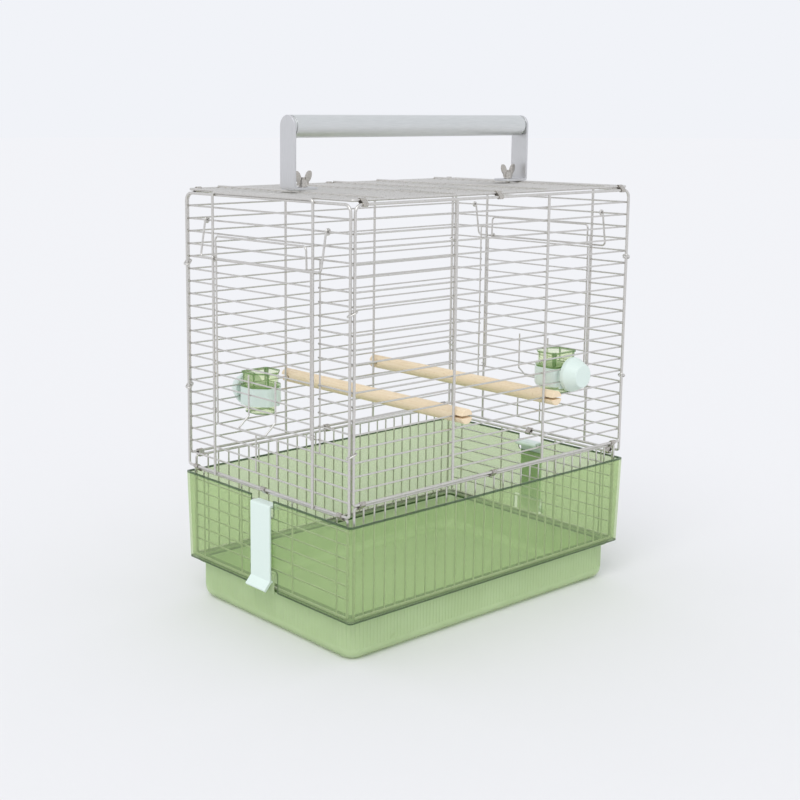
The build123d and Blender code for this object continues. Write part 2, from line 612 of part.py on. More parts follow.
def left_wing_nut():
    """Wing nut on the bolt, just clear of the foot of the post."""
    base = ROOF_BAR_LEVEL + ROOF_BAR_WIRE / 2 + POST_THICKNESS + NUT_GAP
    low = (Align.CENTER, Align.CENTER, Align.MIN)
    hub = Cone(NUT_BASE_DIAMETER / 2, NUT_TOP_DIAMETER / 2, NUT_HEIGHT, align=low)
    wing = extrude(Plane.XZ * Ellipse(WING_WIDTH / 2, WING_HEIGHT / 2), amount=WING_THICKNESS / 2, both=True)
    wings = [Pos(side * WING_REACH, 0, NUT_HEIGHT + WING_LEAN / 8) * Rot(0, side * WING_LEAN, 0) * wing
             for side in (-1, 1)]
    root = Pos(0, 0, NUT_HEIGHT / 2) * Box(2 * WING_REACH, WING_THICKNESS, NUT_HEIGHT / 2)
    nut = hub + [*wings, root]
    nut -= Cylinder(NUT_BORE / 2, 4 * NUT_HEIGHT)
    return Pos(-BOLT_OFFSET, 0, base) * nut


def perch(x):
    """Wooden perch with a slot at each end that fits over a wall wire."""
    z = front_row(PERCH_ROW)
    dowel = Plane(origin=(x, 0, z), z_dir=(0, 1, 0)) * Cylinder(PERCH_DIAMETER / 2, 2 * PERCH_HALF_LENGTH)
    dowel = fillet(dowel.edges().filter_by(GeomType.CIRCLE), PERCH_EASE)
    depth = PERCH_HALF_LENGTH - PERCH_SLOT_FLOOR
    for side in (-1, 1):
        middle = side * (PERCH_SLOT_FLOOR + depth)
        dowel -= Pos(x, middle, z) * Box(2 * PERCH_DIAMETER, 2 * depth, PERCH_SLOT_HEIGHT)
    return dowel


def cup_outline(grow):
    """Plan of the food cup, flat towards the wall and pointed towards the cage."""
    half_w, half_d = CUP_HALF_WIDTH, CUP_HALF_DEPTH
    shape = make_face(Polyline((-half_w, -half_d), (half_w, -half_d), (half_w, half_d * 0.3),
                               (half_w * 0.35, half_d), (-half_w * 0.35, half_d), (-half_w, half_d * 0.3),
                               close=True))
    shape = fillet(shape.vertices(), CUP_FOOT_ROUND)
    return offset(shape, amount=grow) if grow else shape


def feeder_place(spot, row, side):
    """Places a feeder drawn with the wall wires at y = 0 and the cage towards +Y."""
    wire_face = CAGE_DEPTH / 2 - GRID_INSET - GRID_WIRE / 2
    turn = 0 if side < 0 else 180
    return Pos(spot, side * wire_face, front_row(row)) * Rot(0, 0, turn)


def cup_centre():
    """Distance from the wall wires to the middle of the cup."""
    return WIRE_GAP + PLATE_THICKNESS + BAND_WALL + WIRE_GAP + CUP_HALF_DEPTH


def feeder_cup():
    """Food cup, open at the top, hanging by a shoulder below its rim."""
    body = extrude(cup_outline(0), amount=-CUP_HEIGHT, taper=CUP_TAPER)
    body = fillet(body.faces().sort_by(Axis.Z)[0].edges(), CUP_FOOT_ROUND / 2)
    body -= extrude(cup_outline(-CUP_WALL), amount=CUP_WALL - CUP_HEIGHT, taper=CUP_TAPER)
    rim = extrude(cup_outline(CUP_RIM_REACH) - cup_outline(-CUP_WALL / 2), amount=-CUP_RIM_THICKNESS)
    shoulder = extrude(cup_outline(CUP_SHOULDER_REACH) - cup_outline(-CUP_WALL - WIRE_GAP),
                       amount=CUP_RIM_THICKNESS)
    body += [rim, Pos(0, 0, BAND_TOP + WIRE_GAP - CUP_RIM_RISE) * shoulder]
    return Pos(0, cup_centre(), CUP_RIM_RISE) * body


def feeder_holder():
    """Holder inside the wall: plate, band round the cup and the stud through the wires."""
    loop = extrude(cup_outline(WIRE_GAP + BAND_WALL) - cup_outline(WIRE_GAP), amount=-BAND_HEIGHT)
    loop = Pos(0, cup_centre(), BAND_TOP) * loop
    plate_y = WIRE_GAP + PLATE_THICKNESS / 2
    plate_low = -PLATE_HEIGHT / 2
    plate = Pos(0, plate_y, (BAND_TOP + plate_low) / 2) * Box(PLATE_WIDTH, PLATE_THICKNESS,
                                                              BAND_TOP - plate_low)
    stud = Plane(origin=(0, WIRE_GAP + PLATE_THICKNESS, 0), z_dir=(0, -1, 0)) * Cylinder(
        STUD_DIAMETER / 2, STUD_LENGTH + PLATE_THICKNESS, align=(Align.CENTER, Align.CENTER, Align.MIN))
    return plate + [loop, stud]


def feeder_knob():
    """Round clamping knob outside the wall, with a blind bore for the stud."""
    face = -(GRID_WIRE + WIRE_GAP)
    bore_depth = STUD_LENGTH + WIRE_GAP - GRID_WIRE
    half = KNOB_DIAMETER / 2
    profile = Polyline((0, 0), (half, 0), (half, KNOB_RIM), (KNOB_TIP_DIAMETER / 2, KNOB_DEPTH),
                       (0, KNOB_DEPTH), close=True)
    knob = revolve(Plane.XZ * make_face(profile), axis=Axis.Z)
    knob = fillet(knob.edges().filter_by(GeomType.CIRCLE).sort_by(Axis.Z)[1:], 1.5)
    knob -= Cylinder(KNOB_BORE / 2, bore_depth, align=(Align.CENTER, Align.CENTER, Align.MIN))
    return Plane(origin=(0, face, 0), z_dir=(0, -1, 0)) * knob


def all_parts():
    """Every sub-part by name."""
    front = feeder_place(FRONT_FEEDER_SPOT, FRONT_FEEDER_ROW, -1)
    back = feeder_place(BACK_FEEDER_SPOT, BACK_FEEDER_ROW, 1)
    parts = {
        "tray": tray(), "skirt": skirt(),
        "front_wall": long_wall(-1), "back_wall": long_wall(1), "roof": roof(),
        "front_band": long_band(-1), "back_band": long_band(1),
        "front_hinge_clips": long_hinge_clips(-1), "back_hinge_clips": long_hinge_clips(1),
        "roof_front_clips": roof_hinge_clips(-1), "roof_back_clips": roof_hinge_clips(1),
        "corner_hooks": corner_hooks(), "handle_grip": grip(),
        "left_perch": perch(PERCH_OFFSETS[0]), "right_perch": perch(PERCH_OFFSETS[1]),
        "front_feeder_holder": front * feeder_holder(), "back_feeder_holder": back * feeder_holder(),
        "front_feeder_cup": front * feeder_cup(), "back_feeder_cup": back * feeder_cup(),
        "front_feeder_knob": front * feeder_knob(), "back_feeder_knob": back * feeder_knob(),
    }
    paired = {"wall": left_wall, "door": left_door, "door_loops": left_door_loops,
              "door_pull": left_door_pull, "bail": left_bail, "lever": left_lever,
              "band": left_band, "hinge_clips": left_hinge_clips, "tray_latch": left_latch,
              "handle_post": left_post, "handle_bolt": left_bolt, "handle_washer": left_washer,
              "wing_nut": left_wing_nut}
    for name, build in paired.items():
        piece = build()
        parts["left_" + name] = piece
        parts["right_" + name] = other_end(piece)
    return parts


os.makedirs("parts", exist_ok=True)
for node, shape in all_parts().items():
    export_step(shape, os.path.join("parts", node + ".step"))
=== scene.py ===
"""Looks of a wire carry cage for a small bird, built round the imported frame.

Every wire panel is drawn again as round wire with weld beads, the plastic and steel pieces get
softened edges, and each finish is a procedural material. Sizes are millimetres in the dataclass
fields and metres in the meshes.
"""
import json
import logging
import math
from dataclasses import dataclass
from enum import Enum
from typing import Any, Iterable, Optional, Sequence

import bmesh
import bpy
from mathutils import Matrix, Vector

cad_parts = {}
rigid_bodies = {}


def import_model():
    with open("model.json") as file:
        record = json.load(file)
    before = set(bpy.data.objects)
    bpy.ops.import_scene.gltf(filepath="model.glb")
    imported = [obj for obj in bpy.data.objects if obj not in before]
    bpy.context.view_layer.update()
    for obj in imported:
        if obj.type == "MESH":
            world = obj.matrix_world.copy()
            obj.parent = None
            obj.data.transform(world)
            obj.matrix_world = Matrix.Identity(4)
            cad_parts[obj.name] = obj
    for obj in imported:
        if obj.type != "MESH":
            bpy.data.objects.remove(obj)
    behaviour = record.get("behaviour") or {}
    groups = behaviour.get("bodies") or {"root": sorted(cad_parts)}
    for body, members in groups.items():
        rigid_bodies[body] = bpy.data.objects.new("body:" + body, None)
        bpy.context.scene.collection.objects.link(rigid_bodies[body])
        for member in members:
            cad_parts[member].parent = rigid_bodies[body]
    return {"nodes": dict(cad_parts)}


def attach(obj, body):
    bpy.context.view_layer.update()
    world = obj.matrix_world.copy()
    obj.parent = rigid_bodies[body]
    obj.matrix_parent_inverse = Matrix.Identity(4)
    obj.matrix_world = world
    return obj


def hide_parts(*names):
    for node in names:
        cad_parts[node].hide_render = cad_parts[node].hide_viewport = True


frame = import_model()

log = logging.getLogger("bird_cage")

Point = tuple[float, float, float]


def metres(point: Sequence[float]) -> Vector:
    """A point given in millimetres, as a vector in metres."""
    return Vector(point) * 0.001


def linear(hex_code: str, alpha: float = 1.0) -> tuple[float, float, float, float]:
    """Turns an sRGB hex colour into a linear one.

    Args:
        hex_code: six hex digits.
        alpha: the fourth channel.

    Returns:
        Linear red, green, blue and alpha.
    """
    channels = [int(hex_code[i:i + 2], 16) / 255 for i in (0, 2, 4)]
    red, green, blue = [c / 12.92 if c <= 0.04045 else ((c + 0.055) / 1.055) ** 2.4 for c in channels]
    return red, green, blue, alpha


def add_node(tree: bpy.types.NodeTree, kind: str, settings: Optional[dict[str, Any]] = None,
             inputs: Optional[dict[Any, Any]] = None) -> bpy.types.Node:
    """Adds one node to a shader or geometry tree, with its settings, values and links.

    Args:
        tree: the tree that gets the node.
        kind: the node's type name.
        settings: properties of the node itself.
        inputs: value or output socket for each input, by name or number.

    Returns:
        The new node.
    """
    node = tree.nodes.new(kind)
    for key, value in (settings or {}).items():
        setattr(node, key, value)
    for key, value in (inputs or {}).items():
        if isinstance(value, bpy.types.NodeSocket):
            tree.links.new(value, node.inputs[key])
        else:
            node.inputs[key].default_value = value
    return node


# ---------------------------------------------------------------- finishes


class Pattern(Enum):
    """How a surface pattern runs."""

    EVEN = (1.0, 1.0, 1.0)
    ALONG_X = (0.03, 1.0, 1.0)
    ALONG_Y = (1.0, 0.03, 1.0)
    ALONG_Z = (1.0, 1.0, 0.03)


@dataclass(frozen=True)
class Finish:
    """A moulded, drawn or sawn surface: two tones, a pattern of a real size, and a fine bump."""

    name: str
    light: str
    dark: str
    roughness: float
    pattern: Pattern = Pattern.EVEN
    pattern_mm: float = 2.0
    bump_mm: float = 0.01
    metallic: float = 0.0
    ior: float = 1.5
    rough_swing: float = 0.08
    tone_mix: float = 1.0

    def shader(self, tree: bpy.types.NodeTree) -> bpy.types.Node:
        """Adds the main shader with the values that are the same all over.

        Args:
            tree: the material's tree.

        Returns:
            The main shader node.
        """
        inputs: dict[Any, Any] = {"Metallic": self.metallic}
        if self.metallic < 0.5:
            inputs["IOR"] = self.ior
        return add_node(tree, "ShaderNodeBsdfPrincipled", None, inputs)

    def pattern_value(self, tree: bpy.types.NodeTree) -> bpy.types.NodeSocket:
        """Adds a noise whose features have this finish's real size.

        Args:
            tree: the material's tree.

        Returns:
            The noise's value socket.
        """
        place = add_node(tree, "ShaderNodeTexCoord")
        run = add_node(tree, "ShaderNodeMapping", None,
                       {"Vector": place.outputs["Object"], "Scale": self.pattern.value})
        noise = add_node(tree, "ShaderNodeTexNoise", None,
                         {"Vector": run.outputs["Vector"], "Scale": 1000 / self.pattern_mm,
                          "Detail": 3.0, "Roughness": 0.55})
        return noise.outputs[0]

    def tone(self, tree: bpy.types.NodeTree, value: bpy.types.NodeSocket) -> bpy.types.NodeSocket:
        """Mixes the two tones by the pattern.

        Args:
            tree: the material's tree.
            value: the pattern, 0 to 1.

        Returns:
            The colour socket.
        """
        ramp = add_node(tree, "ShaderNodeValToRGB", None, {"Fac": value})
        low, high = ramp.color_ramp.elements
        low.position, low.color = 0.5 - 0.25 * self.tone_mix, linear(self.dark)
        high.position, high.color = 0.5 + 0.25 * self.tone_mix, linear(self.light)
        return ramp.outputs["Color"]

    def dress(self, tree: bpy.types.NodeTree, shader: bpy.types.Node) -> None:
        """Links tone, roughness and bump to the shader.

        Args:
            tree: the material's tree.
            shader: the main shader.
        """
        value = self.pattern_value(tree)
        tree.links.new(self.tone(tree, value), shader.inputs["Base Color"])
        rough = add_node(tree, "ShaderNodeMapRange", None,
                         {"Value": value, "To Min": self.roughness - self.rough_swing,
                          "To Max": self.roughness + self.rough_swing})
        tree.links.new(rough.outputs[0], shader.inputs["Roughness"])
        bump = add_node(tree, "ShaderNodeBump", None,
                        {"Height": value, "Distance": self.bump_mm * 0.001, "Strength": 1.0})
        tree.links.new(bump.outputs[0], shader.inputs["Normal"])

    def build(self) -> bpy.types.Material:
        """Makes the material.

        Returns:
            The finished material.
        """
        material = bpy.data.materials.new(self.name)
        material.use_nodes = True
        tree = material.node_tree
        tree.nodes.clear()
        shader = self.shader(tree)
        self.dress(tree, shader)
        add_node(tree, "ShaderNodeOutputMaterial", None, {"Surface": self.surface(tree, shader)})
        return material

    def surface(self, tree: bpy.types.NodeTree, shader: bpy.types.Node) -> bpy.types.NodeSocket:
        """The socket for the material's surface; clear finishes add to it."""
        return shader.outputs[0]


@dataclass(frozen=True)
class TintedClear(Finish):
    """Tinted see-through moulding: what is behind glows through, and cut edges are deep green."""

    tint: str = "f2fadf"
    cover: float = 0.16
    edge: str = "35552a"
    edge_cover: float = 0.8
    edge_mark: str = "cut_edge"
    rim_low_mm: float = 0.0
    rim_high_mm: float = 1000.0

    def dress(self, tree: bpy.types.NodeTree, shader: bpy.types.Node) -> None:
        """Adds the deep colour of the cut edges, which the mesh marks.

        Args:
            tree: the material's tree.
            shader: the main shader.
        """
        super().dress(tree, shader)
        body = shader.inputs["Base Color"].links[0].from_socket
        deep = add_node(tree, "ShaderNodeMix", {"data_type": "RGBA"},
                        {0: self.edge_value(tree), 6: body, 7: linear(self.edge)})
        tree.links.new(deep.outputs[2], shader.inputs["Base Color"])

    def edge_value(self, tree: bpy.types.NodeTree) -> bpy.types.NodeSocket:
        """The cut edges and the rims, where light piped along the sheet comes out.

        Args:
            tree: the material's tree.

        Returns:
            A socket that is 1 on them and 0 elsewhere.
        """
        mark = add_node(tree, "ShaderNodeAttribute", {"attribute_name": self.edge_mark})
        place = add_node(tree, "ShaderNodeTexCoord")
        apart = add_node(tree, "ShaderNodeSeparateXYZ", None, {0: place.outputs["Object"]})
        above = add_node(tree, "ShaderNodeMath", {"operation": "GREATER_THAN"},
                         {0: apart.outputs["Z"], 1: self.rim_high_mm / 1000})
        below = add_node(tree, "ShaderNodeMath", {"operation": "LESS_THAN"},
                         {0: apart.outputs["Z"], 1: self.rim_low_mm / 1000})
        rims = add_node(tree, "ShaderNodeMath", {"operation": "MAXIMUM"},
                        {0: above.outputs[0], 1: below.outputs[0]})
        either = add_node(tree, "ShaderNodeMath", {"operation": "MAXIMUM"},
                          {0: rims.outputs[0], 1: mark.outputs["Fac"]})
        return either.outputs[0]

    def surface(self, tree: bpy.types.NodeTree, shader: bpy.types.Node) -> bpy.types.NodeSocket:
        """Lets tinted light through wherever the main shader doesn't cover.

        Args:
            tree: the material's tree.
            shader: the main shader.

        Returns:
            The socket for the material's surface.
        """
        through = add_node(tree, "ShaderNodeBsdfTransparent", None, {"Color": linear(self.tint)})
        share = add_node(tree, "ShaderNodeMapRange", None,
                         {"Value": self.edge_value(tree), "To Min": self.cover, "To Max": self.edge_cover})
        mixed = add_node(tree, "ShaderNodeMixShader", None,
                         {0: share.outputs[0], 1: through.outputs[0], 2: shader.outputs[0]})
        return mixed.outputs[0]


@dataclass(frozen=True)
class SawnWood(Finish):
    """Turned beech: long grain of close growth rings with short dark flecks."""

    fleck: str = "b98a55"
    fleck_mm: float = 0.5

    def tone(self, tree: bpy.types.NodeTree, value: bpy.types.NodeSocket) -> bpy.types.NodeSocket:
        """Adds the flecks over the two grain tones.

        Args:
            tree: the material's tree.
            value: the grain, 0 to 1.

        Returns:
            The colour socket.
        """
        grain = super().tone(tree, value)
        place = add_node(tree, "ShaderNodeTexCoord")
        run = add_node(tree, "ShaderNodeMapping", None,
                       {"Vector": place.outputs["Object"], "Scale": (1.0, 0.12, 1.0)})
        noise = add_node(tree, "ShaderNodeTexNoise", None,
                         {"Vector": run.outputs["Vector"], "Scale": 1000 / self.fleck_mm})
        rare = add_node(tree, "ShaderNodeMapRange", None,
                        {"Value": noise.outputs[0], "From Min": 0.62, "From Max": 0.72, "To Max": 0.6})
        mixed = add_node(tree, "ShaderNodeMix", {"data_type": "RGBA"},
                         {0: rare.outputs[0], 6: grain, 7: linear(self.fleck)})
        return mixed.outputs[2]


# Stainless wire, cold drawn and polished in an acid bath: a soft grey sheen with faint draw lines.
DRAWN_WIRE = Finish("drawn stainless wire", "dedcd8", "c8c5c0", 0.3, Pattern.EVEN, 1.5, 0.01, 1.0)
# Bright zinc plate over mild steel: sharper highlights than the wire, slightly uneven plate.
ZINC_PLATE = Finish("bright zinc plate", "d6d2cb", "9c9790", 0.22, Pattern.EVEN, 1.2, 0.015, 1.0)
# Brushed stainless tube and bar: fine lines along the piece that stretch the highlight.
BRUSHED_TUBE = Finish("brushed stainless tube", "e0e2e1", "cfd1d0", 0.42, Pattern.ALONG_X, 0.5, 0.02, 1.0)
BRUSHED_BAR = Finish("brushed stainless bar", "dcdcdd", "cdcdce", 0.45, Pattern.ALONG_Z, 0.5, 0.02, 1.0)
# General purpose polystyrene tinted bottle green: glossy and clear, with deep coloured cut edges.
GREEN_CLEAR = TintedClear("tinted green polystyrene", "b4c89c", "a9bf91", 0.12, Pattern.EVEN, 60.0,
                          0.02, ior=1.59, rough_swing=0.03, tint="f6fcea", cover=0.24,
                          rim_low_mm=49.6, rim_high_mm=152.8)
GREEN_CUP = TintedClear("tinted green cup styrene", "e8f8d0", "e0f4c4", 0.15, Pattern.EVEN, 12.0,
                        0.01, ior=1.59, rough_swing=0.03, tint="fcfef5", cover=0.14, edge="6d9350")
# Random copolymer polypropylene, lightly tinted: cloudy, so what is behind it only glows through.
CLOUDY_TRAY = TintedClear("cloudy green polypropylene", "d6e8be", "ccdfb2", 0.3, Pattern.EVEN, 40.0, 0.02,
                          ior=1.49, rough_swing=0.06, tint="f6fbec", cover=0.5, edge="c4dbaa",
                          edge_cover=0.6)
# Mint coloured polypropylene with the fine spark-eroded grain of its mould.
MINT_MOULDED = Finish("mint moulded polypropylene", "e4f1ea", "daeae2", 0.38, Pattern.EVEN, 0.5, 0.01,
                      ior=1.49, rough_swing=0.05)
# Turned and sanded beech dowel, unvarnished.
BEECH = SawnWood("sanded beech", "fae8cb", "efd8b3", 0.6, Pattern.ALONG_Y, 1.6, 0.03, ior=1.45,
                 fleck="c39c6c")


class Wardrobe:
    """All finishes of the cage, each made once."""

    def __init__(self) -> None:
        """Makes every material."""
        self.wire = DRAWN_WIRE.build()
        self.zinc = ZINC_PLATE.build()
        self.tube = BRUSHED_TUBE.build()
        self.bar = BRUSHED_BAR.build()
        self.skirt = GREEN_CLEAR.build()
        self.cup = GREEN_CUP.build()
        self.tray = CLOUDY_TRAY.build()
        self.mint = MINT_MOULDED.build()
        self.wood = BEECH.build()


# ---------------------------------------------------------------- geometry trees


class GrowTree:
    """A geometry node tree with named inputs, and the mesh it grows."""

    def __init__(self, name: str, inputs: dict[str, str]) -> None:
        """Starts an empty tree.

        Args:
            name: the tree's name.
            inputs: socket type for each named input.
        """
        self.tree = bpy.data.node_groups.new(name, "GeometryNodeTree")
        self.ids: dict[str, str] = {}
        sides = {"Geometry": "NodeSocketGeometry", **inputs, "Material": "NodeSocketMaterial"}
        for label, kind in sides.items():
            socket = self.tree.interface.new_socket(name=label, in_out="INPUT", socket_type=kind)
            self.ids[label] = socket.identifier
        self.tree.interface.new_socket(name="Geometry", in_out="OUTPUT", socket_type="NodeSocketGeometry")
        self.given = add_node(self.tree, "NodeGroupInput").outputs

    def close(self, shape: bpy.types.NodeSocket) -> None:
        """Ends the tree: real mesh, smooth shading and the material.

        Args:
            shape: the geometry to finish.
        """
        real = add_node(self.tree, "GeometryNodeRealizeInstances", None, {0: shape})
        smooth = add_node(self.tree, "GeometryNodeSetShadeSmooth", None, {0: real.outputs[0]})
        dressed = add_node(self.tree, "GeometryNodeSetMaterial", None,
                           {"Geometry": smooth.outputs[0], "Material": self.given["Material"]})
        add_node(self.tree, "NodeGroupOutput", None, {0: dressed.outputs[0]})

    def grow(self, material: bpy.types.Material, values: dict[str, Any],
             path: Optional[bpy.types.Mesh] = None) -> bpy.types.Mesh:
        """Runs the tree once and keeps the result as a plain mesh.

        Args:
            material: the finish that the tree sets.
            values: value for each named input.
            path: a mesh of edges for the trees that follow one.

        Returns:
            The grown mesh.
        """
        start = path or bpy.data.meshes.new("seed")
        holder = bpy.data.objects.new("grower", start)
        bpy.context.scene.collection.objects.link(holder)
        modifier = holder.modifiers.new("grow", "NODES")
        modifier.node_group = self.tree
        for label, value in {**values, "Material": material}.items():
            modifier[self.ids[label]] = value
        bpy.context.view_layer.update()
        ready = holder.evaluated_get(bpy.context.evaluated_depsgraph_get())
        mesh = bpy.data.meshes.new_from_object(ready)
        bpy.data.objects.remove(holder)
        bpy.data.meshes.remove(start)
        return mesh


def row_tree() -> GrowTree:
    """Parallel straight wires, one step apart.

    Returns:
        The tree, with inputs Start, Run, Step, Count, Radius and Sides.
    """
    made = GrowTree("wire rows", {"Start": "NodeSocketVector", "Run": "NodeSocketVector",
                                  "Step": "NodeSocketVector", "Count": "NodeSocketInt",
                                  "Radius": "NodeSocketFloat", "Sides": "NodeSocketInt"})
    tree, given = made.tree, made.given
    end = add_node(tree, "ShaderNodeVectorMath", {"operation": "ADD"}, {0: given["Start"], 1: given["Run"]})
    line = add_node(tree, "GeometryNodeCurvePrimitiveLine", None,
                    {"Start": given["Start"], "End": end.outputs[0]})
    ring = add_node(tree, "GeometryNodeCurvePrimitiveCircle", None,
                    {"Radius": given["Radius"], "Resolution": given["Sides"]})
    wire = add_node(tree, "GeometryNodeCurveToMesh", None,
                    {"Curve": line.outputs[0], "Profile Curve": ring.outputs[0], "Fill Caps": True})
    spots = add_node(tree, "GeometryNodeMeshLine", {"mode": "OFFSET"},
                     {"Count": given["Count"], "Offset": given["Step"]})
    rows = add_node(tree, "GeometryNodeInstanceOnPoints", None,
                    {"Points": spots.outputs[0], "Instance": wire.outputs[0]})
    made.close(rows.outputs[0])
    return made


def bend_tree() -> GrowTree:
    """One wire along a path of edges, with rounded bends.

    Returns:
        The tree, with inputs Bend, Radius and Sides.
    """
    made = GrowTree("bent wire", {"Bend": "NodeSocketFloat", "Radius": "NodeSocketFloat",
                                  "Sides": "NodeSocketInt"})
    tree, given = made.tree, made.given
    path = add_node(tree, "GeometryNodeMeshToCurve", None, {0: given["Geometry"]})
    soft = add_node(tree, "GeometryNodeFilletCurve", {"mode": "POLY"},
                    {"Curve": path.outputs[0], "Radius": given["Bend"], "Count": 7, "Limit Radius": True})
    ring = add_node(tree, "GeometryNodeCurvePrimitiveCircle", None,
                    {"Radius": given["Radius"], "Resolution": given["Sides"]})
    wire = add_node(tree, "GeometryNodeCurveToMesh", None,
                    {"Curve": soft.outputs[0], "Profile Curve": ring.outputs[0], "Fill Caps": True})
    made.close(wire.outputs[0])
    return made


def bead_tree() -> GrowTree:
    """Small weld beads on a grid of crossings.

    Returns:
        The tree, with inputs Start, Across, Columns, Up, Rows and Radius.
    """
    made = GrowTree("weld beads", {"Start": "NodeSocketVector", "Across": "NodeSocketVector",
                                   "Columns": "NodeSocketInt", "Up": "NodeSocketVector",
                                   "Rows": "NodeSocketInt", "Radius": "NodeSocketFloat"})
    tree, given = made.tree, made.given
    across = add_node(tree, "GeometryNodeMeshLine", {"mode": "OFFSET"},
                      {"Count": given["Columns"], "Start Location": given["Start"],
                       "Offset": given["Across"]})
    up = add_node(tree, "GeometryNodeMeshLine", {"mode": "OFFSET"},
                  {"Count": given["Rows"], "Offset": given["Up"]})
    grid = add_node(tree, "GeometryNodeInstanceOnPoints", None,
                    {"Points": up.outputs[0], "Instance": across.outputs[0]})
    spots = add_node(tree, "GeometryNodeRealizeInstances", None, {0: grid.outputs[0]})
    bead = add_node(tree, "GeometryNodeMeshIcoSphere", None, {"Radius": given["Radius"], "Subdivisions": 2})
    beads = add_node(tree, "GeometryNodeInstanceOnPoints", None,
                     {"Points": spots.outputs[0], "Instance": bead.outputs[0]})
    made.close(beads.outputs[0])
    return made


def rib_tree() -> GrowTree:
    """Upright half-round ribs spaced along a closed outline.

    Returns:
        The tree, with inputs Spacing, Height, Radius and Bend.
    """
    made = GrowTree("tray ribs", {"Spacing": "NodeSocketFloat", "Height": "NodeSocketFloat",
                                  "Radius": "NodeSocketFloat", "Bend": "NodeSocketFloat"})
    tree, given = made.tree, made.given
    path = add_node(tree, "GeometryNodeMeshToCurve", None, {0: given["Geometry"]})
    soft = add_node(tree, "GeometryNodeFilletCurve", {"mode": "POLY"},
                    {"Curve": path.outputs[0], "Radius": given["Bend"], "Count": 12, "Limit Radius": True})
    spots = add_node(tree, "GeometryNodeCurveToPoints", {"mode": "LENGTH"},
                     {"Curve": soft.outputs[0], "Length": given["Spacing"]})
    top = add_node(tree, "ShaderNodeCombineXYZ", None, {"Z": given["Height"]})
    line = add_node(tree, "GeometryNodeCurvePrimitiveLine", None, {"End": top.outputs[0]})
    ring = add_node(tree, "GeometryNodeCurvePrimitiveCircle", None,
                    {"Radius": given["Radius"], "Resolution": 6})
    rib = add_node(tree, "GeometryNodeCurveToMesh", None,
                   {"Curve": line.outputs[0], "Profile Curve": ring.outputs[0], "Fill Caps": True})
    ribs = add_node(tree, "GeometryNodeInstanceOnPoints", None,
                    {"Points": spots.outputs[0], "Instance": rib.outputs[0]})
    made.close(ribs.outputs[0])
    return made


